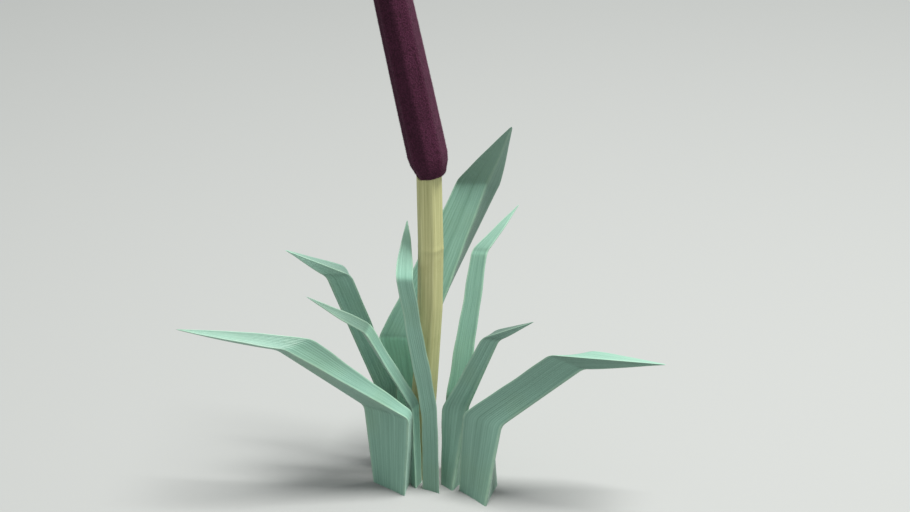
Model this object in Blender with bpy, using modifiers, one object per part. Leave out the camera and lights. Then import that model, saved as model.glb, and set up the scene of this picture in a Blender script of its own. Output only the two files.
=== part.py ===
# Cattail plant as cut: a stem with its seed spike, and eight leaves round its foot.
# Metres, +Z up. The origin is the centre of the stem's cut foot, and the front is -Y.

import math

import bmesh
import bpy
from mathutils import Matrix, Vector

MM = 0.001
GAP = 0.0003

STEM_RADIUS = 0.0108
STEM_SIDES = 6
STEM_TURN = -16.0
# The stem bows to the right below and comes back a little under the spike.
STEM_PATH = ((0.0, 0.0), (0.0028, 0.045), (0.0060, 0.091), (0.0100, 0.155), (0.0108, 0.207))
CORE_RADIUS = 0.0032
STALK_TIP_RADIUS = 0.0011
STALK_LENGTH = 0.045
# The stem meets the spike's flat foot a little left of the spike's axis.
STEM_TOP_SHIFT = -0.0022

SPIKE_FOOT = Vector((0.0118, 0.0, 0.2695))
SPIKE_LEAN = 11.3
SPIKE_SIDES = 8
SPIKE_LENGTH = 0.185
SPIKE_EDGE_ROUNDING = 0.0012
# Radius and height of the spike's outside, from its top down to the stem.
SPIKE_OUTSIDE = (
    (0.0050, 0.1850),
    (0.0094, 0.1815),
    (0.0132, 0.1740),
    (0.0146, 0.1600),
    (0.0150, 0.1350),
    (0.0157, 0.0700),
    (0.0160, 0.0170),
    (0.0150, 0.0100),
    (0.0114, 0.0),
)

# A bend is rounded over this length on each side of its corner.
BEND_REACH = 0.006
BEND_STEPS = 4
SHEATH_STEPS = 5
BLADE_STEPS = 7
TIP_STEPS = 8
# The blade's section at its very tip, as a share of the section at its bend.
TIP_SHARE = 0.06
MARGIN_BLUNT = 0.0010
KEEL_BLUNT = 0.0022
MOST_BLUNT = 0.3

# A leaf is three long edges: its two margins, and the keel that runs along its back.
# Each edge has its place at the foot, at the top of the sheath and at the bend, in mm.
# Left and right are as seen from the tip of a leaf that is looked at from outside.
# A fuller leaf keeps its width longer before it narrows to the tip.
LEAVES = {
    "leaf_left_low": {
        "left": ((-11, -36, 0), (-7, -36, 71), (-105, -44, 138)),
        "right": ((-7, -16, 0), (-4, -27, 74), (-82, -35, 143)),
        "keel": ((-38, -12, 0), (-45, -8, 69), (-112, -32, 131.5)),
        "tip": (-190, -36, 152),
        "fullness": 1.8,
    },
    "leaf_left_middle": {
        "left": ((-2, -24, 0), (-4.6, -22, 71.5), (-41, -24, 141.5)),
        "right": ((3, -13, 0), (1.6, -19, 77), (-37, -18, 148)),
        "keel": ((-10, -10, 0), (-10.5, -12, 76), (-47, -12, 141)),
        "tip": (-88, -18, 172),
        "fullness": 1.7,
    },
    "leaf_left_high": {
        "left": ((-18, 4, 0), (-17, 8, 79), (-52.3, 8, 177.8)),
        "right": ((-24, 26, 0), (-25, 26, 76), (-58, 30, 175.5)),
        "keel": ((-36, 8, 0), (-35, 7, 75), (-74.5, 11, 176)),
        "tip": (-106, 20, 195),
        "fullness": 1.1,
    },
    "leaf_front": {
        "left": ((3, -24, 0), (3, -27, 68), (-17, -17, 187)),
        "right": ((17.5, -32, 0), (16, -27, 77), (-3, -15, 185)),
        "keel": ((11, -16, 0), (10, -18, 70), (-11, -8, 183)),
        "tip": (-8, 14, 224),
        "fullness": 1.8,
    },
    "leaf_back": {
        "left": ((-12, 34, 0), (-33, 34, 110), (30.5, 55, 238)),
        "right": ((12, 18, 0), (10, 22, 114.5), (56, 47, 241)),
        "keel": ((10, 38, 0), (6, 40, 108), (65, 58, 231)),
        "tip": (75, 36, 295),
        "fullness": 1.2,
    },
    "leaf_right_high": {
        "left": ((20, 12, 0), (22, -2, 74), (43, 8, 200)),
        "right": ((27, -6, 0), (40.5, -8, 76), (56, 4, 201)),
        "keel": ((34, 8, 0), (39, 4, 75), (53, 12, 194)),
        "tip": (81, 22, 234),
        "fullness": 1.3,
    },
    "leaf_right_middle": {
        "left": ((35, -14, 0), (42, -10, 72), (60, -20, 142)),
        "right": ((18, -16, 0), (19, -18, 72), (51, -28, 140)),
        "keel": ((28, -28, 0), (41, -21, 73), (66, -30, 139)),
        "tip": (92, -33, 157),
        "fullness": 1.3,
    },
    "leaf_right_low": {
        "left": ((65, -17, 0), (60, -14, 64), (137, -30, 130)),
        "right": ((33, -26, 0), (35.5, -34, 75), (103.7, -50, 136.5)),
        "keel": ((55, -53, 0), (68, -44, 69), (132, -49, 123)),
        "tip": (196, -52, 129),
        "fullness": 1.2,
    },
}


def clear_scene():
    for obj in list(bpy.data.objects):
        bpy.data.objects.remove(obj, do_unlink=True)


def new_collection(name):
    collection = bpy.data.collections.new(name)
    bpy.context.scene.collection.children.link(collection)
    return collection


def new_material(name, colour, roughness):
    material = bpy.data.materials.new(name)
    material.use_nodes = True
    shader = material.node_tree.nodes["Principled BSDF"]
    shader.inputs["Base Color"].default_value = (*colour, 1.0)
    shader.inputs["Roughness"].default_value = roughness
    shader.inputs["Metallic"].default_value = 0.0
    return material


def add_loft(name, rings, material, collection):
    """A closed solid whose skin runs through the rings, which all have as many points."""
    shell = bmesh.new()
    loops = [[shell.verts.new(point) for point in ring] for ring in rings]
    count = len(rings[0])
    for lower, upper in zip(loops, loops[1:]):
        for i in range(count):
            j = (i + 1) % count
            shell.faces.new((lower[i], lower[j], upper[j], upper[i]))
    shell.faces.new(loops[0])
    shell.faces.new(loops[-1])
    bmesh.ops.recalc_face_normals(shell, faces=shell.faces)
    mesh = bpy.data.meshes.new(name)
    shell.to_mesh(mesh)
    shell.free()
    mesh.materials.append(material)
    obj = bpy.data.objects.new(name, mesh)
    collection.objects.link(obj)
    return obj


def rounded_corner(before, corner, after):
    """Points of a curve that leaves the straight lines BEND_REACH from their corner."""
    start = corner + (before - corner).normalized() * BEND_REACH
    end = corner + (after - corner).normalized() * BEND_REACH
    points = []
    for step in range(BEND_STEPS + 1):
        t = step / BEND_STEPS
        points.append(start * (1 - t) ** 2 + corner * 2 * t * (1 - t) + end * t**2)
    return points


def leaf_edge(places, bend_centre, tip, fullness):
    """One long edge of a leaf, from its foot through the two bends to the tip."""
    foot, sheath_top, bend = places
    offset = bend - bend_centre
    lower_bend = rounded_corner(foot, sheath_top, bend)
    upper_bend = rounded_corner(sheath_top, bend, tip + offset)
    points = [foot.lerp(lower_bend[0], i / SHEATH_STEPS) for i in range(SHEATH_STEPS)]
    points += lower_bend[:-1]
    points += [
        lower_bend[-1].lerp(upper_bend[0], i / BLADE_STEPS) for i in range(BLADE_STEPS)
    ]
    points += upper_bend[:-1]
    centre = upper_bend[-1] - offset
    for i in range(TIP_STEPS + 1):
        t = i / TIP_STEPS
        share = 1 - (1 - TIP_SHARE) * t**fullness
        points.append(centre.lerp(tip, t) + offset * share)
    return points


def blunted_section(corners):
    """The three corners of a section, each cut off by its own small flat."""
    blunts = (MARGIN_BLUNT, MARGIN_BLUNT, KEEL_BLUNT)
    section = []
    for i, corner in enumerate(corners):
        for other in (corners[i - 1], corners[(i + 1) % 3]):
            side = other - corner
            section.append(corner + side * min(blunts[i] / side.length, MOST_BLUNT))
    return section


def build_leaf(name, leaf, material, collection):
    edges = [[Vector(place) * MM for place in leaf[key]] for key in ("left", "right", "keel")]
    tip = Vector(leaf["tip"]) * MM
    bend_centre = sum((edge[2] for edge in edges), Vector()) / 3
    lines = [leaf_edge(edge, bend_centre, tip, leaf["fullness"]) for edge in edges]
    rings = [blunted_section(corners) for corners in zip(*lines)]
    return add_loft(name, rings, material, collection)


def spike_frame():
    """Places heights along the spike's axis, which leans to the left."""
    return Matrix.Translation(SPIKE_FOOT) @ Matrix.Rotation(-math.radians(SPIKE_LEAN), 4, "Y")


def level_ring(x, z, radius):
    """A ring of the stem, cut level."""
    turns = [math.radians(STEM_TURN + 360 * i / STEM_SIDES) for i in range(STEM_SIDES)]
    return [Vector((x + radius * math.cos(a), radius * math.sin(a), z)) for a in turns]


def build_stem(material, collection):
    """The stem runs on as a thin core through the spike and ends as the bare stalk above it."""
    frame = spike_frame()
    rings = [level_ring(x, z, STEM_RADIUS) for x, z in STEM_PATH]
    above = (
        (STEM_TOP_SHIFT, STEM_RADIUS, -GAP),
        (0.0, CORE_RADIUS, -GAP),
        (0.0, CORE_RADIUS, SPIKE_LENGTH),
        (0.0, STALK_TIP_RADIUS * 2, SPIKE_LENGTH + STALK_LENGTH * 0.6),
        (0.0, STALK_TIP_RADIUS, SPIKE_LENGTH + STALK_LENGTH),
    )
    for x, radius, height in above:
        rings.append([frame @ point for point in level_ring(x, height, radius)])
    return add_loft("stem", rings, material, collection)


def build_spike(material, collection):
    """A turned eight-sided head with a bore for the stem's core."""
    bore = CORE_RADIUS + GAP * 1.5
    inside = ((bore, 0.0), (bore, SPIKE_LENGTH))
    profile = [Vector((radius, 0.0, height)) for radius, height in SPIKE_OUTSIDE + inside]
    shell = bmesh.new()
    verts = [shell.verts.new(point) for point in profile]
    for i, vert in enumerate(verts):
        shell.edges.new((vert, verts[(i + 1) % len(verts)]))
    mesh = bpy.data.meshes.new("spike")
    shell.to_mesh(mesh)
    shell.free()
    mesh.materials.append(material)
    spike = bpy.data.objects.new("spike", mesh)
    collection.objects.link(spike)
    turn = spike.modifiers.new("turned", "SCREW")
    turn.steps = SPIKE_SIDES
    turn.render_steps = SPIKE_SIDES
    turn.use_merge_vertices = True
    turn.merge_threshold = 0.00001
    turn.use_smooth_shade = False
    edges = spike.modifiers.new("softened edges", "BEVEL")
    edges.width = SPIKE_EDGE_ROUNDING
    edges.segments = 2
    edges.limit_method = "ANGLE"
    edges.angle_limit = math.radians(30)
    spike.matrix_world = spike_frame()
    return spike


def main():
    clear_scene()
    plant = new_collection("cattail")
    leaf_green = new_material("leaf", (0.155, 0.31, 0.235), 0.55)
    stem_straw = new_material("stem", (0.36, 0.35, 0.17), 0.6)
    spike_maroon = new_material("spike", (0.055, 0.02, 0.035), 0.85)
    build_stem(stem_straw, plant)
    build_spike(spike_maroon, plant)
    for name, leaf in LEAVES.items():
        build_leaf(name, leaf, leaf_green, plant)


main()
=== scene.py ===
# Cattail plant as cut: a straw stem, its dark seed spike and eight folded leaves.
import math
import bmesh
import bpy
import numpy as np
from mathutils import Matrix, Vector


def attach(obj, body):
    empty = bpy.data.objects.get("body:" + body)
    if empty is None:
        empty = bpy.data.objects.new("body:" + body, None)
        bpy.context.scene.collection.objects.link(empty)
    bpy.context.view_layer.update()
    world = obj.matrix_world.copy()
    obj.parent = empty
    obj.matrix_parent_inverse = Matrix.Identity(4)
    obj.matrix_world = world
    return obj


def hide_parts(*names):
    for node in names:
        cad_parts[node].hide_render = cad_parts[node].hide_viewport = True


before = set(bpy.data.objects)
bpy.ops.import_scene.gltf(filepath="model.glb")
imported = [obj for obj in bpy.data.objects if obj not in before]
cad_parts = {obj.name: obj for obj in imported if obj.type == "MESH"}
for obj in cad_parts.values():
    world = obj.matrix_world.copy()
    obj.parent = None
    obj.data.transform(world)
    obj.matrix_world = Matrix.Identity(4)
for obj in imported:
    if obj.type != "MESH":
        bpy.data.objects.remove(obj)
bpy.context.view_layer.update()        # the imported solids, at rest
mm = 0.001
print("Frame loaded:", len(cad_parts), "nodes")


# Camera, floor and lights

cameraSettings = {
    "target": (0.030, 0.015, 0.192),
    "elevation": 25.0,
    "distance": 2.0,
    "lens": 98.9,
    "sensorWidth": 36.0,
    "nearClip": 0.05,
}

studioSettings = {
    "floorSize": 9.0,
    "floorColour": (0.28, 0.285, 0.28),
    "floorRoughness": 0.9,
    "floorSpecular": 0.15,
    "worldColour": (0.96, 1.0, 1.0),
    "worldStrength": 0.60,
    # name: (place, size, watts, colour)
    "lights": {
        "topSoftbox": ((0.66, -0.12, 3.0), 1.0, 190.0, (1.0, 1.0, 0.98)),
    },
    "aim": (0.0, 0.0, 0.17),
}


def addCamera(settings):
    tilt = math.radians(settings["elevation"])
    back = Vector((0.0, -math.cos(tilt), math.sin(tilt)))
    place = Vector(settings["target"]) + back * settings["distance"]
    bpy.ops.object.camera_add(location=place, rotation=(math.pi / 2 - tilt, 0.0, 0.0))
    camera = bpy.context.object
    camera.name = "photoCamera"
    camera.data.lens = settings["lens"]
    camera.data.sensor_width = settings["sensorWidth"]
    camera.data.clip_start = settings["nearClip"]
    bpy.context.scene.camera = camera


def addStudio(settings):
    bpy.ops.mesh.primitive_plane_add(size=settings["floorSize"], location=(0.0, 0.0, 0.0))
    floor = bpy.context.object
    floor.name = "floor"
    material = bpy.data.materials.new("pale floor")
    material.use_nodes = True
    shader = material.node_tree.nodes["Principled BSDF"]
    shader.inputs["Base Color"].default_value = (*settings["floorColour"], 1.0)
    shader.inputs["Roughness"].default_value = settings["floorRoughness"]
    shader.inputs["Specular IOR Level"].default_value = settings["floorSpecular"]
    floor.data.materials.append(material)
    world = bpy.data.worlds.new("studio")
    world.use_nodes = True
    background = world.node_tree.nodes["Background"]
    background.inputs["Color"].default_value = (*settings["worldColour"], 1.0)
    background.inputs["Strength"].default_value = settings["worldStrength"]
    bpy.context.scene.world = world
    bpy.context.scene.view_settings.view_transform = "Standard"
    for name, (place, size, watts, colour) in settings["lights"].items():
        aim = Vector(settings["aim"]) - Vector(place)
        turn = aim.to_track_quat("-Z", "Y").to_euler()
        bpy.ops.object.light_add(type="AREA", location=place, rotation=turn)
        light = bpy.context.object
        light.name = name
        light.data.size = size
        light.data.energy = watts
        light.data.color = colour


addCamera(cameraSettings)
addStudio(studioSettings)
print("Camera, floor and lights set")


# Materials

# The streaks' range that the roughness follows
glossRange = (0.3, 0.7)


def startMaterial(name):
    material = bpy.data.materials.new(name)
    material.use_nodes = True
    tree = material.node_tree
    return material, tree, tree.nodes["Principled BSDF"]


def addNode(tree, kind, settings=None, **inputs):
    # Adds a node, sets its options, and sets or links its inputs. An input goes by its
    # name, or by the letter i and its number.
    node = tree.nodes.new(kind)
    for option, value in (settings or {}).items():
        setattr(node, option, value)
    for key, value in inputs.items():
        socket = node.inputs[int(key[1:]) if key[1:].isdigit() else key.replace("_", " ")]
        if isinstance(value, bpy.types.NodeSocket):
            tree.links.new(value, socket)
        else:
            socket.default_value = value
    return node


def doMath(tree, operation, first, second, clamp=False):
    node = addNode(tree, "ShaderNodeMath", {"operation": operation, "use_clamp": clamp},
                   i0=first, i1=second)
    return node.outputs[0]


def sumShares(tree, values, shares):
    # Sums the values, each times its share.
    parts = [doMath(tree, "MULTIPLY", value, share) for value, share in zip(values, shares)]
    total = parts[0]
    for part in parts[1:]:
        total = doMath(tree, "ADD", total, part)
    return total


def mixColours(tree, blend, share, first, second):
    # The second colour is a plain one.
    node = addNode(tree, "ShaderNodeMix", {"data_type": "RGBA", "blend_type": blend},
                   i0=share, i6=first, i7=(*second, 1.0))
    return node.outputs[2]


def addRamp(tree, value, places, colours):
    node = addNode(tree, "ShaderNodeValToRGB", i0=value)
    ramp = node.color_ramp
    while len(ramp.elements) < len(places):
        ramp.elements.new(0.5)
    for element, place, colour in zip(ramp.elements, places, colours):
        element.position = place
        element.color = (*colour, 1.0)
    return node.outputs["Color"]


def readMap(tree):
    # The map's first number counts ribs round the piece, and its second is centimetres along it.
    uv = addNode(tree, "ShaderNodeUVMap", {"uv_map": "UVMap"}).outputs[0]
    parts = addNode(tree, "ShaderNodeSeparateXYZ", Vector=uv)
    return uv, parts.outputs["X"], parts.outputs["Y"]


def readPlace(tree):
    return addNode(tree, "ShaderNodeTexCoord").outputs["Object"]


def readAttribute(tree, name, output="Fac"):
    return addNode(tree, "ShaderNodeAttribute", {"attribute_name": name}).outputs[output]


def addNoise(tree, vector, scale, detail, roughness=0.5):
    noise = addNode(tree, "ShaderNodeTexNoise", Vector=vector, Scale=scale, Detail=detail,
                    Roughness=roughness)
    return noise.outputs["Fac"]


def addStreaks(tree, uv, streaks):
    # Broad and fine streaks along the piece. Returns their mix and the fine ones alone.
    noises = []
    for stretch, detail, share in streaks:
        mapping = addNode(tree, "ShaderNodeMapping", Vector=uv, Scale=stretch)
        noises.append(addNoise(tree, mapping.outputs[0], 1.0, detail))
    return sumShares(tree, noises, [share for stretch, detail, share in streaks]), noises[1]


def addGrooves(tree, colour, ribs, finish):
    # Darkens the lines between the ribs.
    fromLine = doMath(tree, "PINGPONG", ribs, 0.5)
    sharp = doMath(tree, "MULTIPLY", fromLine, finish["grooveSharpness"])
    flat = doMath(tree, "SMOOTH_MIN", sharp, 1.0)
    share = doMath(tree, "MULTIPLY", doMath(tree, "SUBTRACT", 1.0, flat), finish["grooveDepth"])
    return mixColours(tree, "MULTIPLY", share, colour, finish["groove"])


def addPatches(tree, colour, place, patches, patchColour):
    scale, detail, level, strength = patches
    above = doMath(tree, "SUBTRACT", addNoise(tree, place, scale, detail), level, True)
    return mixColours(tree, "MIX", doMath(tree, "MULTIPLY", above, strength), colour, patchColour)


def addPaintedShading(tree, shader, colour):
    # The mesh holds painted light and shade: for each side of a leaf or of the spike, and a darker
    # part below the stem's ring. On the bristles it also holds their own darker roots and lighter
    # tips.
    paintedShadingAndTint = readAttribute(tree, "paintedShadingAndTint", "Vector")
    toned = addNode(tree, "ShaderNodeVectorMath", {"operation": "MULTIPLY"}, i0=colour, i1=paintedShadingAndTint)
    tree.links.new(toned.outputs[0], shader.inputs["Base Color"])


def addGloss(tree, shader, streaks, roughness):
    gloss = addNode(tree, "ShaderNodeMapRange", i0=streaks, i1=glossRange[0], i2=glossRange[1],
                    i3=roughness[0], i4=roughness[1])
    tree.links.new(gloss.outputs[0], shader.inputs["Roughness"])


def addBump(tree, shader, height, bump, invert=False):
    strength, distance = bump
    node = addNode(tree, "ShaderNodeBump", {"invert": invert}, Strength=strength,
                   Distance=distance, Height=height)
    tree.links.new(node.outputs[0], shader.inputs["Normal"])


def setSurface(shader, surface):
    for name, value in surface.items():
        shader.inputs[name].default_value = value


leafFinish = {
    "dark": (0.122, 0.246, 0.186),
    "light": (0.210, 0.375, 0.298),
    # Colour of the painted highlight on the tips
    "pale": (0.50, 0.74, 0.60),
    "margin": (0.42, 0.58, 0.42),
    "blotch": (0.16, 0.27, 0.15),
    "groove": (0.45, 0.55, 0.45),
    "grooveSharpness": 5.0,
    "grooveDepth": 0.30,
    # Broad and fine: stretch, detail and share
    "streaks": (((0.9, 0.07, 1.0), 4.0, 0.65), ((6.0, 0.35, 1.0), 2.0, 0.35)),
    "streakStops": (0.34, 0.66),
    "wallSpacing": 0.55,
    "wallThickness": 0.022,
    "wallSoftness": 0.6,
    "wallStep": 0.37,
    "wallShare": 0.09,
    "blotches": (22.0, 3.0, 0.5, 1.1),    # scale, detail, level and strength
    "wear": (160.0, 3.0, 0.5),            # scale, detail and share
    "grain": (1400.0, 2.0),               # scale and detail
    "heights": (0.8, 0.2, 0.25),          # of the fine streaks, cross walls and grain
    "bump": (0.45, 0.0003),               # strength and distance
    "roughness": (0.42, 0.60),
    "surface": {
        "Specular IOR Level": 0.5,
        "Sheen Weight": 0.25,
        "Sheen Roughness": 0.45,
        "Sheen Tint": (0.80, 1.0, 0.90, 1.0),
    },
}


def makeLeafMaterial(finish):
    material, tree, shader = startMaterial("waxy leaf")
    uv, ribs, along = readMap(tree)
    place = readPlace(tree)
    streaks, fineStreaks = addStreaks(tree, uv, finish["streaks"])
    green = addRamp(tree, streaks, finish["streakStops"], (finish["dark"], finish["light"]))
    grooved = addGrooves(tree, green, ribs, finish)

    # Short cross walls step from rib to rib.
    turned = addNode(tree, "ShaderNodeCombineXYZ", X=along, Y=ribs)
    bricks = addNode(tree, "ShaderNodeTexBrick",
                     {"offset": finish["wallStep"], "offset_frequency": 2},
                     Vector=turned.outputs[0], Scale=1.0, Mortar_Size=finish["wallThickness"],
                     Mortar_Smooth=finish["wallSoftness"], Brick_Width=finish["wallSpacing"],
                     Row_Height=1.0)
    walls = bricks.outputs["Fac"]
    wallShare = doMath(tree, "MULTIPLY", walls, finish["wallShare"])
    walled = mixColours(tree, "MIX", wallShare, grooved, finish["light"])
    blotched = addPatches(tree, walled, place, finish["blotches"], finish["blotch"])

    wearScale, wearDetail, wearShare = finish["wear"]
    wear = doMath(tree, "MULTIPLY", addNoise(tree, place, wearScale, wearDetail), wearShare)
    worn = doMath(tree, "MULTIPLY", readAttribute(tree, "edge"), wear)
    edged = mixColours(tree, "MIX", worn, blotched, finish["margin"])
    # Painted highlight: paler towards the tip.
    tipHighlighted = mixColours(tree, "MIX", readAttribute(tree, "pale"), edged, finish["pale"])
    addPaintedShading(tree, shader, tipHighlighted)

    addGloss(tree, shader, streaks, finish["roughness"])
    grain = addNoise(tree, place, *finish["grain"])
    height = sumShares(tree, (fineStreaks, walls, grain), finish["heights"])
    addBump(tree, shader, height, finish["bump"])
    setSurface(shader, finish["surface"])
    return material


pithFinish = {
    "wall": (0.62, 0.66, 0.42),
    "hollow": (0.20, 0.22, 0.10),
    "cells": 420.0,
    "wallStops": (0.05, 0.22),
    "bump": (0.8, 0.0006),
    "surface": {"Roughness": 0.9},
}


def makePithMaterial(finish):
    # The cut ends show spongy tissue: pale walls round small air cells.
    material, tree, shader = startMaterial("cut pith")
    cells = addNode(tree, "ShaderNodeTexVoronoi", {"feature": "DISTANCE_TO_EDGE"},
                    Vector=readPlace(tree), Scale=finish["cells"])
    distance = cells.outputs["Distance"]
    colour = addRamp(tree, distance, finish["wallStops"], (finish["wall"], finish["hollow"]))
    tree.links.new(colour, shader.inputs["Base Color"])
    addBump(tree, shader, distance, finish["bump"], True)
    setSurface(shader, finish["surface"])
    return material


stemFinish = {
    "dark": (0.39, 0.39, 0.170),
    "light": (0.62, 0.61, 0.315),
    "khaki": (0.36, 0.34, 0.14),
    "groove": (0.55, 0.50, 0.35),
    "grooveSharpness": 4.0,
    "grooveDepth": 0.3,
    # Broad and fine: stretch, detail and share
    "streaks": (((0.8, 0.10, 1.0), 4.0, 0.6), ((4.5, 0.25, 1.0), 3.0, 0.4)),
    "streakStops": (0.34, 0.64),
    "patches": (45.0, 4.0, 0.55, 2.4),    # scale, detail, level and strength
    "grain": (1500.0, 2.0),               # scale and detail
    "heights": (1.0, 0.3),                # of the fibres and grain
    "bump": (0.5, 0.0003),
    "roughness": (0.5, 0.7),
    "surface": {"Specular IOR Level": 0.4},
}


def makeStemMaterial(finish):
    material, tree, shader = startMaterial("straw stem")
    uv, ribs, _ = readMap(tree)
    place = readPlace(tree)
    streaks, fibres = addStreaks(tree, uv, finish["streaks"])
    straw = addRamp(tree, streaks, finish["streakStops"], (finish["dark"], finish["light"]))
    grooved = addGrooves(tree, straw, ribs, finish)
    addPaintedShading(tree, shader, addPatches(tree, grooved, place, finish["patches"], finish["khaki"]))
    addGloss(tree, shader, streaks, finish["roughness"])
    grain = addNoise(tree, place, *finish["grain"])
    addBump(tree, shader, sumShares(tree, (fibres, grain), finish["heights"]), finish["bump"])
    setSurface(shader, finish["surface"])
    return material


spikeFinish = {
    "deep": (0.028, 0.006, 0.0145),
    "mid": (0.055, 0.0115, 0.0295),
    "tip": (0.096, 0.023, 0.056),
    "stops": (0.30, 0.58, 0.86),
    "seeds": 820.0,
    "seedScatter": 0.9,
    "gapDepth": 0.9,
    "bands": (55.0, 4.0, 0.6),            # scale, detail and roughness
    "shares": (0.65, 0.35),               # of the seeds and bands
    "bump": (0.6, 0.0005),
    "surface": {
        "Roughness": 0.9,
        "Specular IOR Level": 0.2,
        "Sheen Weight": 0.10,
        "Sheen Roughness": 0.5,
        "Sheen Tint": (0.75, 0.42, 0.58, 1.0),
    },
}


def makeSpikeMaterial(finish):
    # Packed seed tips: light ends over deep gaps, with soft bands where the seeds lie together.
    material, tree, shader = startMaterial("velvet seeds")
    place = readPlace(tree)
    seeds = addNode(tree, "ShaderNodeTexVoronoi", Vector=place, Scale=finish["seeds"],
                    Randomness=finish["seedScatter"])
    distance = seeds.outputs["Distance"]
    bands = addNoise(tree, place, *finish["bands"])
    gaps = doMath(tree, "MULTIPLY", distance, finish["gapDepth"])
    value = sumShares(tree, (doMath(tree, "SUBTRACT", 1.0, gaps), bands), finish["shares"])
    colours = (finish["deep"], finish["mid"], finish["tip"])
    addPaintedShading(tree, shader, addRamp(tree, value, finish["stops"], colours))
    addBump(tree, shader, distance, finish["bump"], True)
    setSurface(shader, finish["surface"])
    return material


leafMaterial = makeLeafMaterial(leafFinish)
pithMaterial = makePithMaterial(pithFinish)
stemMaterial = makeStemMaterial(stemFinish)
spikeMaterial = makeSpikeMaterial(spikeFinish)
print("Materials made")


# Modelling helpers

seamWidth = 1e-7          # points closer than this become one
groundLevel = 1e-5        # points lower than this are on the ground
mapPerMetre = 100.0


def rollSheet(name, points, across, along, marks):
    # A flat grid is rolled up: its columns go round the piece, its rows run from foot to tip.
    rows, columns = points.shape[:2]
    bpy.ops.object.select_all(action="DESELECT")
    bpy.ops.mesh.primitive_grid_add(x_subdivisions=columns - 1, y_subdivisions=rows - 1,
                                    size=1.0, calc_uvs=True)
    piece = bpy.context.object
    piece.name = name
    mesh = piece.data
    mesh.name = name
    flat = np.empty(len(mesh.vertices) * 3)
    mesh.vertices.foreach_get("co", flat)
    flat = flat.reshape(-1, 3) + 0.5
    column = np.rint(flat[:, 0] * (columns - 1)).astype(int)
    row = np.rint(flat[:, 1] * (rows - 1)).astype(int)
    mesh.vertices.foreach_set("co", points[row, column].ravel())
    for mark, values in marks.items():
        attribute = mesh.attributes.new(mark, "FLOAT", "POINT")
        attribute.data.foreach_set("value", values[row, column].astype(np.float32))
    corner = np.empty(len(mesh.loops), int)
    mesh.loops.foreach_get("vertex_index", corner)
    layer = mesh.uv_layers.active
    layer.name = "UVMap"
    uv = np.stack([across[column[corner]], along[row[corner]]], axis=1)
    layer.data.foreach_set("uv", uv.ravel().astype(np.float32))
    bpy.ops.object.mode_set(mode="EDIT")
    bpy.ops.mesh.select_all(action="SELECT")
    bpy.ops.mesh.remove_doubles(threshold=seamWidth)
    bpy.ops.object.mode_set(mode="OBJECT")
    return piece


def selectVerts(piece, wanted):
    # Selects the vertices for which wanted(vertex) holds, in edit mode.
    bpy.ops.mesh.select_mode(type="VERT")
    bpy.ops.mesh.select_all(action="DESELECT")
    cage = bmesh.from_edit_mesh(piece.data)
    for vert in cage.verts:
        vert.select = wanted(vert)
    cage.select_flush_mode()
    bmesh.update_edit_mesh(piece.data)


def closeEnds(piece, skin):
    # Fills the cut end flat, with a rim of skin round the pith, and draws the tip together.
    bpy.ops.object.mode_set(mode="EDIT")
    selectVerts(piece, lambda vert: vert.is_boundary and vert.co.z < groundLevel)
    bpy.ops.mesh.edge_face_add()
    bpy.ops.mesh.inset(thickness=skin, use_even_offset=False)
    piece.active_material_index = 1
    bpy.ops.object.material_slot_assign()
    selectVerts(piece, lambda vert: vert.is_boundary)
    bpy.ops.mesh.merge(type="CENTER")
    bpy.ops.object.mode_set(mode="OBJECT")


def finishPiece(piece, node, sharpAngle):
    bpy.ops.object.mode_set(mode="EDIT")
    bpy.ops.mesh.select_all(action="SELECT")
    bpy.ops.mesh.normals_make_consistent(inside=False)
    bpy.ops.object.mode_set(mode="OBJECT")
    bpy.ops.object.shade_smooth_by_angle(angle=math.radians(sharpAngle))
    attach(piece, "root")
    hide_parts(node)


def unit(vectors):
    return vectors / np.linalg.norm(vectors, axis=-1, keepdims=True)


def lengthAlong(line):
    steps = np.linalg.norm(np.diff(line, axis=0), axis=1)
    return np.concatenate([[0.0], np.cumsum(steps)])


def roundSection(corners, blunts, sideSteps, settings, sideOffset):
    # Corners has a ring of corner points for each row. Each corner is rounded, and
    # sideOffset(side, share, width) says how far the points of a side stand out.
    count = corners.shape[1]
    centre = corners.mean(axis=1)
    starts, ends = [], []
    for i in range(count):
        corner = corners[:, i]
        arms = []
        for other in (corners[:, i - 1], corners[:, (i + 1) % count]):
            side = other - corner
            length = np.linalg.norm(side, axis=1, keepdims=True)
            arms.append(corner + side * np.minimum(blunts[i] / length, settings["mostBlunt"]))
        starts.append(arms[0])
        ends.append(arms[1])
    columns, sides = [], []
    for i in range(count):
        after = (i + 1) % count
        for step in range(settings["cornerSteps"]):
            t = step / settings["cornerSteps"]
            arc = starts[i] * (1 - t) ** 2 + corners[:, i] * 2 * t * (1 - t) + ends[i] * t**2
            columns.append(arc)
            sides.append(i - 1 + t)
        run = corners[:, after] - corners[:, i]
        width = np.linalg.norm(run, axis=1)
        out = (corners[:, after] + corners[:, i]) / 2 - centre
        out = out - unit(run) * (out * unit(run)).sum(axis=1, keepdims=True)
        out = unit(out)
        for step in range(sideSteps[i]):
            share = step / sideSteps[i]
            offset = sideOffset(i, share, width)
            columns.append(ends[i] * (1 - share) + starts[after] * share + out * offset[:, None])
            sides.append(float(i))
    columns.append(columns[0])
    sides.append(float(count - 1))
    return np.stack(columns, axis=1), np.array(sides)


def countRibs(sideSteps, settings):
    # Counts ribs round a piece, column by column. A rounded corner counts as half a rib.
    steps = [0.0]
    for count in sideSteps:
        steps += [0.5 / settings["cornerSteps"]] * settings["cornerSteps"]
        steps += [1 / settings["pointsPerRib"]] * count
    return np.cumsum(steps)


def ribLift(share, ribs, taper, settings):
    # How far the rounded ribs stand out. They fade towards the corners.
    shape = np.sqrt(abs(math.sin(math.pi * ribs * share)))
    fade = min(1.0, share * ribs, (1 - share) * ribs)
    return settings["ribHeight"] * shape * fade * taper


# Leaves

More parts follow.
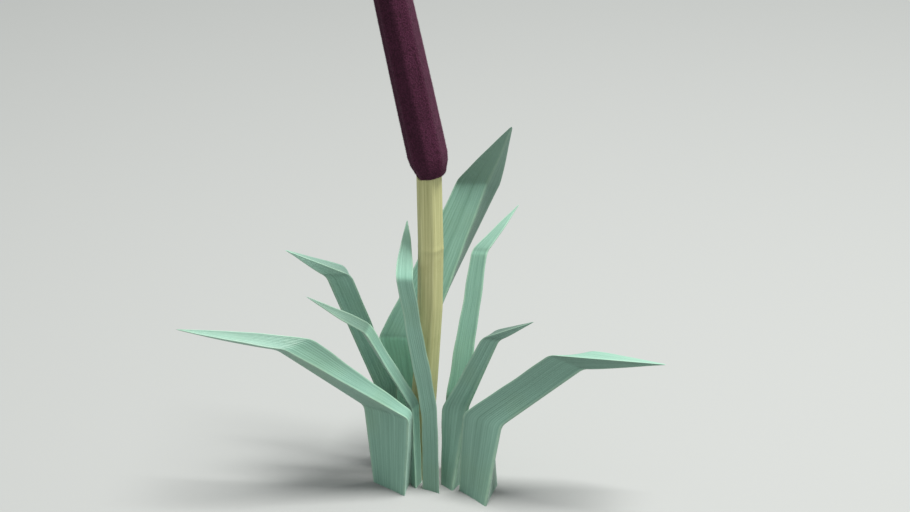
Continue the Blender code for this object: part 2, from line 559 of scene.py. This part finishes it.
leafDetail = {
    "bendReach": 4.5 * mm,
    "bendSteps": 7,
    "sheathSteps": 26,
    "bladeSteps": 26,
    "tipSteps": 34,
    "tipShare": 0.05,
    "marginBlunt": 1.0 * mm,
    "keelBlunt": 2.2 * mm,
    "mostBlunt": 0.3,
    "cornerSteps": 4,
    "ribSpacing": 2.2 * mm,
    "fewestRibs": 3,
    "pointsPerRib": 5,
    "ribHeight": 0.16 * mm,
    "hollow": (0.035, 0.012, 0.012),      # inner face, right side, left side
    "marginWaver": 0.30 * mm,
    "waverRates": (95, 211),              # slow and quick, in radians for each metre
    "quickShare": 0.6,
    "wearFade": 1.5,
    # Where along the leaf the painted light and shade of the sheath, the blade and the tip begin and
    # end
    "shadingStops": (0, 0.97, 1.03, 1.97, 2.03, 3),
    # Painted highlight: the tips are mixed towards the pale colour.
    "tipHighlight": 0.18,
    "tipHighlightPower": 0.8,
    "skin": 0.5 * mm,
    "sharpAngle": 40,
}

# Each leaf is its two margins and its keel, by their places at the foot, at the top of
# the sheath and at the bend, in mm. Painted light and shade for each side brighten or darken the
# sheath, the blade and the tip.
leafSettings = {
    "leaf_left_low": {
        "left": ((-11, -36, 0), (-7, -36, 71), (-105, -44, 138)),
        "right": ((-7, -16, 0), (-4, -27, 74), (-82, -35, 143)),
        "keel": ((-38, -12, 0), (-45, -8, 69), (-112, -32, 131.5)),
        "tip": (-190, -36, 152),
        "fullness": 1.8,
        "paintedSideShading": ((1.1, 1, 0.85), (1, 1, 1), (1.2, 1, 1)),
    },
    "leaf_left_middle": {
        "left": ((-2, -24, 0), (-4.6, -22, 71.5), (-41, -24, 141.5)),
        "right": ((3, -13, 0), (1.6, -19, 77), (-37, -18, 148)),
        "keel": ((-10, -10, 0), (-10.5, -12, 76), (-47, -12, 141)),
        "tip": (-88, -18, 172),
        "fullness": 1.7,
        "paintedSideShading": ((1.9, 1.22, 0.72), (1, 1, 1), (1.3, 1, 1)),
    },
    "leaf_left_high": {
        "left": ((-18, 4, 0), (-17, 8, 79), (-52.3, 8, 177.8)),
        "right": ((-24, 26, 0), (-25, 26, 76), (-58, 30, 175.5)),
        "keel": ((-36, 8, 0), (-35, 7, 75), (-74.5, 11, 176)),
        "tip": (-106, 20, 195),
        "fullness": 1.1,
        "paintedSideShading": ((1, 1, 0.75), (1, 1, 1), (1.1, 1.15, 1)),
    },
    "leaf_front": {
        "left": ((3, -24, 0), (3, -27, 68), (-17, -17, 187)),
        "right": ((17.5, -32, 0), (16, -27, 77), (-3, -15, 185)),
        "keel": ((11, -16, 0), (10, -18, 70), (-11, -8, 183)),
        "tip": (-8, 14, 224),
        "fullness": 1.8,
        "paintedSideShading": ((1, 0.92, 1.45), (1, 1, 1), (1.05, 0.95, 1.4)),
    },
    "leaf_back": {
        "left": ((-12, 34, 0), (-33, 34, 110), (30.5, 55, 238)),
        "right": ((12, 18, 0), (10, 22, 114.5), (56, 47, 241)),
        "keel": ((10, 38, 0), (6, 40, 108), (65, 58, 231)),
        "tip": (75, 36, 295),
        "fullness": 1.2,
        "paintedSideShading": ((2.0, 1.12, 0.85), (1.8, 0.75, 0.8), (1.3, 1, 1)),
    },
    "leaf_right_high": {
        "left": ((20, 12, 0), (22, -2, 74), (43, 8, 200)),
        "right": ((27, -6, 0), (40.5, -8, 76), (56, 4, 201)),
        "keel": ((34, 8, 0), (39, 4, 75), (53, 12, 194)),
        "tip": (81, 22, 234),
        "fullness": 1.3,
        "paintedSideShading": ((1.1, 1.6, 0.95), (1, 1.2, 0.95), (1, 1.1, 0.95)),
    },
    "leaf_right_middle": {
        "left": ((35, -14, 0), (42, -10, 72), (60, -20, 142)),
        "right": ((18, -16, 0), (19, -18, 72), (51, -28, 140)),
        "keel": ((28, -28, 0), (41, -21, 73), (66, -30, 139)),
        "tip": (92, -33, 157),
        "fullness": 1.3,
        "paintedSideShading": ((1.3, 1.1, 0.3), (1.1, 1.1, 0.75), (1.6, 1.1, 0.75)),
    },
    "leaf_right_low": {
        "left": ((65, -17, 0), (60, -14, 64), (137, -30, 130)),
        "right": ((33, -26, 0), (35.5, -34, 75), (103.7, -50, 136.5)),
        "keel": ((55, -53, 0), (68, -44, 69), (132, -49, 123)),
        "tip": (196, -52, 129),
        "fullness": 1.2,
        "paintedSideShading": ((1, 1.05, 0.9), (1.08, 1.05, 0.85), (0.75, 1, 0.9)),
    },
}


def roundBend(before, corner, after, detail):
    start = corner + unit(before - corner) * detail["bendReach"]
    end = corner + unit(after - corner) * detail["bendReach"]
    t = np.linspace(0, 1, detail["bendSteps"] + 1)[:, None]
    return start * (1 - t) ** 2 + corner * 2 * t * (1 - t) + end * t**2


def straightRun(start, end, steps):
    t = np.arange(steps)[:, None] / steps
    return start * (1 - t) + end * t


def leafEdge(places, bendCentre, leaf, detail):
    # One long edge, from its foot through the two bends to the tip.
    foot, sheathTop, bend = places
    tip = np.array(leaf["tip"]) * mm
    offset = bend - bendCentre
    lower = roundBend(foot, sheathTop, bend, detail)
    upper = roundBend(sheathTop, bend, tip + offset, detail)
    t = np.linspace(0, 1, detail["tipSteps"] + 1)[:, None]
    share = 1 - (1 - detail["tipShare"]) * t ** leaf["fullness"]
    centre = upper[-1] - offset
    return np.concatenate([
        straightRun(foot, lower[0], detail["sheathSteps"]), lower[:-1],
        straightRun(lower[-1], upper[0], detail["bladeSteps"]), upper[:-1],
        centre * (1 - t) + tip * t + offset * share,
    ])


def leafZones(detail):
    # 0 to 1 on the sheath, 1 to 2 on the blade, 2 to 3 on the tip.
    half = detail["bendSteps"] / 2
    ends = np.cumsum([0, detail["sheathSteps"] + half,
                      detail["bladeSteps"] + 2 * half, detail["tipSteps"] + half])
    return np.interp(np.arange(ends[-1] + 1), ends, (0, 1, 2, 3))


def waverMargins(corners, run, zones, name, detail):
    # The margins waver a little, more along the blade than at the foot.
    centre = corners.mean(axis=1)
    phase = sum(map(ord, name)) % 17
    slow, quick = detail["waverRates"]
    size = detail["marginWaver"] * np.clip(zones, 0, 1) * np.clip((3 - zones) * 2, 0, 1)
    for i in (0, 1):
        wave = np.sin(run * slow + phase + i * 2.1)
        wave = wave + detail["quickShare"] * np.sin(run * quick + phase * 1.7 + i)
        corners[:, i] += unit(corners[:, i] - centre) * (wave * size)[:, None]


def leafPaintedShading(leaf, zones, sides, detail):
    # Each side has its own painted light and shade, which run into each other round a corner.
    bySide = [np.interp(zones, detail["shadingStops"], np.repeat(paintedShadingAndTint, 2)) for paintedShadingAndTint in leaf["paintedSideShading"]]
    paintedShadingAndTint = np.empty((len(zones), len(sides)))
    for column, side in enumerate(sides):
        low = math.floor(side)
        part = side - low
        paintedShadingAndTint[:, column] = bySide[low % 3] * (1 - part) + bySide[(low + 1) % 3] * part
    return paintedShadingAndTint


def wornEdges(sideSteps, detail):
    # 1 on the rounded corners, and falling off across the ribs beside them.
    edge = []
    for count in sideSteps:
        column = np.arange(count)
        fromCorner = np.minimum(column, count - column) / detail["pointsPerRib"]
        edge += [1.0] * detail["cornerSteps"]
        edge += list(np.maximum(0.0, 1.0 - fromCorner * detail["wearFade"]))
    return np.array(edge + [1.0])


def buildLeaf(name, leaf, detail):
    edges = [np.array(leaf[key], float) * mm for key in ("left", "right", "keel")]
    bendCentre = sum(edge[2] for edge in edges) / 3
    corners = np.stack([leafEdge(edge, bendCentre, leaf, detail) for edge in edges], axis=1)
    run = lengthAlong(corners.mean(axis=1))
    zones = leafZones(detail)
    waverMargins(corners, run, zones, name, detail)
    widths = [np.linalg.norm(corners[:, (i + 1) % 3] - corners[:, i], axis=1) for i in range(3)]
    ribs = [max(detail["fewestRibs"], round(width[0] / detail["ribSpacing"])) for width in widths]
    sideSteps = [count * detail["pointsPerRib"] for count in ribs]

    def sideOffset(side, share, width):
        taper = np.minimum(width / widths[side][0], 1.0)
        hollow = detail["hollow"][side] * width * 4 * share * (1 - share)
        return ribLift(share, ribs[side], taper, detail) - hollow

    blunts = (detail["marginBlunt"], detail["marginBlunt"], detail["keelBlunt"])
    points, sides = roundSection(corners, blunts, sideSteps, detail, sideOffset)
    points[0, :, 2] = 0.0
    # Painted highlight, growing towards the tip.
    pale = detail["tipHighlight"] * np.clip(zones - 2.0, 0, 1) ** detail["tipHighlightPower"]
    marks = {
        "paintedShadingAndTint": leafPaintedShading(leaf, zones, sides, detail),
        "pale": np.repeat(pale[:, None], len(sides), axis=1),
        "edge": np.repeat(wornEdges(sideSteps, detail)[None], len(zones), axis=0),
    }
    across = countRibs(sideSteps, detail)
    piece = rollSheet(name + "_skin", points, across, run * mapPerMetre, marks)
    piece.data.materials.append(leafMaterial)
    piece.data.materials.append(pithMaterial)
    closeEnds(piece, detail["skin"])
    finishPiece(piece, name, detail["sharpAngle"])


for leafName, leafValues in leafSettings.items():
    buildLeaf(leafName, leafValues, leafDetail)
print("Leaves rolled up:", len(leafSettings))


# Stem

stemSettings = {
    "path": ((0, 0), (2.8, 45), (6.0, 91), (10.0, 155), (10.8, 207)),
    "radius": 10.8 * mm,
    "sides": 6,
    "turn": -16.0,
    "edgeBlunt": 1.3 * mm,
    "mostBlunt": 0.3,
    "cornerSteps": 4,
    "ribSpacing": 1.3 * mm,
    "pointsPerRib": 4,
    "ribHeight": 0.12 * mm,
    "rowSpacing": 2.2 * mm,
    "upperSteps": 24,
    "gap": 0.3 * mm,
    "topShift": -2.2 * mm,
    "topShares": (0.75, 0.5),             # rings on the flat top, from the rim to the core
    "coreRadius": 3.2 * mm,
    "stalkLength": 45 * mm,
    "stalkSteps": 21,
    "stalkTipRadius": 1.1 * mm,
    "stalkTipStart": 0.99,
    "stalkTipPinch": 0.5,
    "ringHeight": 207 * mm,
    "ringWidth": 1.6 * mm,
    "ringSize": 0.22 * mm,
    "paintedLowShade": 0.95,
    "shadeReach": 1 * mm,
    "skin": 0.8 * mm,
    "sharpAngle": 40,
}

spikeSettings = {
    "foot": (11.8 * mm, 0.0, 269.5 * mm),
    "lean": 11.3,
    "sides": 8,
    "length": 185 * mm,
    # Radius and height of the outside, from the stem up
    "outside": ((11.4, 0), (15.0, 10), (16.0, 17), (15.7, 70), (15.0, 135),
                (14.6, 160), (13.2, 174), (9.4, 181.5), (5.0, 185)),
    # Painted light and shade of the eight sides, anticlockwise from +X as seen from above
    "paintedSideShading": (0.85, 0.9, 1.0, 1.0, 1.0, 1.0, 1.18, 0.88),
    "bore": 3.65 * mm,
    "boreSteps": 8,
    "edgeBlunt": 1.6 * mm,
    "mostBlunt": 0.3,
    "cornerSteps": 3,
    "seedSpacing": 0.72 * mm,
    "seedHeight": 0.20 * mm,
    "seedScatter": 0.10 * mm,
    "seedDraw": 5,
    "flatRows": 2,                        # rows without seeds beside the bore
    "bristleLength": 0.85 * mm,
    "bristleShortest": 0.5,
    "bristleRadius": 0.15 * mm,
    "bristleSink": 0.15 * mm,
    "bristleLean": 0.28,
    "bristleTones": (0.8, 1.7),           # at the root and at the tip
    "bristleDraw": 11,
    "bareRows": 4,                        # rows without bristles beside the bore
    "sharpAngle": 60,
}


def spikeFrame(settings):
    lean = Matrix.Rotation(-math.radians(settings["lean"]), 4, "Y")
    return np.array(Matrix.Translation(settings["foot"]) @ lean)


def levelRings(centres, radii, sides, turn):
    angles = np.radians(turn + 360 * np.arange(sides) / sides)
    ring = np.stack([np.cos(angles), np.sin(angles), np.zeros(sides)], axis=1)
    return centres[:, None] + ring[None] * radii[:, None, None]


def placesAlong(shifts, heights):
    return np.stack([shifts, 0 * heights, heights], axis=1)


def turnInto(frameMatrix, points):
    return points @ frameMatrix[:3, :3].T + frameMatrix[:3, 3]


def stemTop(settings, spikeLength):
    # Sideways shift, height and radius of the rings above the stem's end, along the spike.
    core, tip, top = settings["coreRadius"], settings["stalkTipRadius"], -settings["gap"]
    rings = []
    for share in settings["topShares"]:
        rings.append((settings["topShift"] * share, top, core + (settings["radius"] - core) * share))
    rings += [(0.0, top, core), (0.0, spikeLength, core)]
    for t in np.linspace(0, 1, settings["stalkSteps"] + 1)[1:]:
        height = spikeLength + settings["stalkLength"] * t * settings["stalkTipStart"]
        rings.append((0.0, height, core * (1 - t) + tip * t))
    rings.append((0.0, spikeLength + settings["stalkLength"], tip * settings["stalkTipPinch"]))
    return np.array(rings).T


def stemRings(settings, spike):
    def rings(shifts, heights, radii):
        return levelRings(placesAlong(shifts, heights), radii, settings["sides"], settings["turn"])

    path = np.array(settings["path"], float) * mm
    radius = np.array([settings["radius"]])
    lean = spikeFrame(spike)
    heights = np.arange(0.0, path[-1, 1], settings["rowSpacing"])
    shifts = np.interp(heights, path[:, 1], path[:, 0])
    lower = rings(shifts, heights, np.full(len(heights), settings["radius"]))
    # From the end of the path the stem runs straight up to the flat under the spike.
    start = rings(path[-1:, 0], path[-1:, 1], radius)
    end = turnInto(lean, rings(np.array([settings["topShift"]]), np.array([-settings["gap"]]), radius))
    steps = settings["upperSteps"]
    upper = [start * (1 - i / steps) + end * (i / steps) for i in range(steps + 1)]
    above = turnInto(lean, rings(*stemTop(settings, spike["length"])))
    return np.concatenate([lower, *upper, above])


def buildStem(settings, spike):
    sides = settings["sides"]
    corners = stemRings(settings, spike)
    sideWidth = np.linalg.norm(corners[0, 1] - corners[0, 0])
    ribs = round(sideWidth / settings["ribSpacing"])
    sideSteps = [ribs * settings["pointsPerRib"]] * sides

    def sideOffset(side, share, width):
        return ribLift(share, ribs, np.minimum(width / sideWidth, 1.0), settings)

    blunts = [settings["edgeBlunt"]] * sides
    points, _ = roundSection(corners, blunts, sideSteps, settings, sideOffset)
    points[0, :, 2] = 0.0
    # A low ring where the upper sheath once closed round the stem.
    middle = points[:, :-1].mean(axis=1, keepdims=True)
    aboveRing = middle[:, 0, 2] - settings["ringHeight"]
    lift = np.exp(-(aboveRing / settings["ringWidth"]) ** 2) * settings["ringSize"]
    points += unit(points - middle) * lift[:, None, None]
    # Below the ring the stem is a little darker: painted shade.
    reach = settings["shadeReach"]
    paintedShadingAndTint = np.interp(aboveRing, (-reach, reach), (settings["paintedLowShade"], 1.0))
    paintedShadingAndTint = np.repeat(paintedShadingAndTint[:, None], points.shape[1], axis=1)
    across = countRibs(sideSteps, settings)
    along = lengthAlong(middle[:, 0]) * mapPerMetre
    piece = rollSheet("stem_skin", points, across, along, {"paintedShadingAndTint": paintedShadingAndTint})
    piece.data.materials.append(stemMaterial)
    piece.data.materials.append(pithMaterial)
    closeEnds(piece, settings["skin"])
    finishPiece(piece, "stem", settings["sharpAngle"])


# Spike

def spikeRows(settings):
    # Rows one seed apart, from the bore out and up the outside to the bore, then down in it.
    bore = settings["bore"]
    outline = np.array(settings["outside"], float) * mm
    outline = np.concatenate([[[bore, 0.0]], outline, [[bore, settings["length"]]]])
    rows = [outline[0]]
    for start, end in zip(outline, outline[1:]):
        steps = max(1, round(np.linalg.norm(end - start) / settings["seedSpacing"]))
        rows += [start + (end - start) * i / steps for i in range(1, steps + 1)]
    steps = settings["boreSteps"]
    rows += [outline[-1] + (outline[0] - outline[-1]) * i / steps for i in range(1, steps + 1)]
    return np.array(rows)


def buildSpike(settings):
    rows = spikeRows(settings)
    centres = placesAlong(0 * rows[:, 1], rows[:, 1])
    corners = levelRings(centres, rows[:, 0], settings["sides"], 0.0)
    third = corners[len(corners) // 3]
    steps = round(np.linalg.norm(third[1] - third[0]) / settings["seedSpacing"])
    sideSteps = [steps] * settings["sides"]
    blunts = [settings["edgeBlunt"]] * settings["sides"]
    points, sides = roundSection(corners, blunts, sideSteps, settings,
                                 lambda side, share, width: 0 * width)
    # Every other point stands out as the end of a seed.
    scatter = np.random.default_rng(settings["seedDraw"])
    count = len(points) - settings["boreSteps"]
    outside = points[:count, :-1]
    raised = np.add.outer(np.arange(count), np.arange(outside.shape[1])) % 2
    lift = raised * settings["seedHeight"]
    lift = lift + scatter.uniform(-1, 1, lift.shape) * settings["seedScatter"]
    flat = settings["flatRows"]
    lift[:flat] = lift[-flat:] = 0
    # Outward is across the outline: away from the axis, and up or down near the two ends.
    slope = np.gradient(rows[:count], axis=0)
    outward = unit(np.stack([slope[:, 1], -slope[:, 0]], axis=1))
    direction = unit(outside - centres[:count, None]) * outward[:, None, :1]
    direction[:, :, 2] += outward[:, None, 1]
    outside += direction * lift[:, :, None]
    points[:, -1] = points[:, 0]
    lean = spikeFrame(settings)
    points = turnInto(lean, points)
    across = np.linspace(0, 1, points.shape[1])
    along = np.linspace(0, 1, points.shape[0])
    # Painted light and shade, side by side round the spike.
    shadingStops = settings["paintedSideShading"][-1:] + settings["paintedSideShading"]
    paintedShadingAndTint = np.interp(sides, np.arange(-1, len(shadingStops) - 1), shadingStops)
    paintedShadingAndTint = np.repeat(paintedShadingAndTint[None], len(points), axis=0)
    piece = rollSheet("spike_skin", points, across, along, {"paintedShadingAndTint": paintedShadingAndTint})
    piece.data.materials.append(spikeMaterial)
    finishPiece(piece, "spike", settings["sharpAngle"])

    # A bristle grows from every raised seed, but not beside the bore.
    bare = settings["bareRows"]
    grown = raised == 1
    grown[:bare] = grown[-bare:] = False
    buildBristles(settings, points[:count, :-1][grown], direction[grown] @ lean[:3, :3].T,
                  paintedShadingAndTint[:count, :-1][grown])


def buildBristles(settings, roots, outward, paintedSideShading):
    # Short closed spines with three sides, all in one mesh.
    scatter = np.random.default_rng(settings["bristleDraw"])
    count = len(roots)
    lean = unit(outward + scatter.normal(0, settings["bristleLean"], (count, 3)))
    shares = scatter.uniform(settings["bristleShortest"], 1.0, (count, 1))
    length = settings["bristleLength"] * shares
    side = unit(np.cross(lean, (0.3, 0.2, 1.0)))
    other = np.cross(lean, side)
    foot = roots - lean * settings["bristleSink"]
    corners = [foot + (side * math.cos(turn) + other * math.sin(turn)) * settings["bristleRadius"]
               for turn in (0.0, math.tau / 3, math.tau * 2 / 3)]
    verts = np.stack(corners + [roots + lean * length], axis=1).reshape(-1, 3)
    first = np.arange(count)[:, None] * 4
    faces = np.concatenate([first + face for face in ((0, 2, 1), (0, 1, 3), (1, 2, 3), (2, 0, 3))])
    mesh = bpy.data.meshes.new("spike_bristles")
    mesh.from_pydata(verts.tolist(), [], faces.tolist())
    # Each bristle takes the painted light and shade of its side of the spike, times its own darker
    # root and lighter tip.
    rootTone, tipTone = settings["bristleTones"]
    shades = np.outer(paintedSideShading, (rootTone, rootTone, rootTone, tipTone)).ravel()
    attribute = mesh.attributes.new("paintedShadingAndTint", "FLOAT", "POINT")
    attribute.data.foreach_set("value", shades.astype(np.float32))
    mesh.materials.append(spikeMaterial)
    piece = bpy.data.objects.new("spike_bristles", mesh)
    bpy.context.collection.objects.link(piece)
    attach(piece, "root")
    print("Bristles:", count)


buildStem(stemSettings, spikeSettings)
buildSpike(spikeSettings)
print("Stem and spike made")

print("Done")
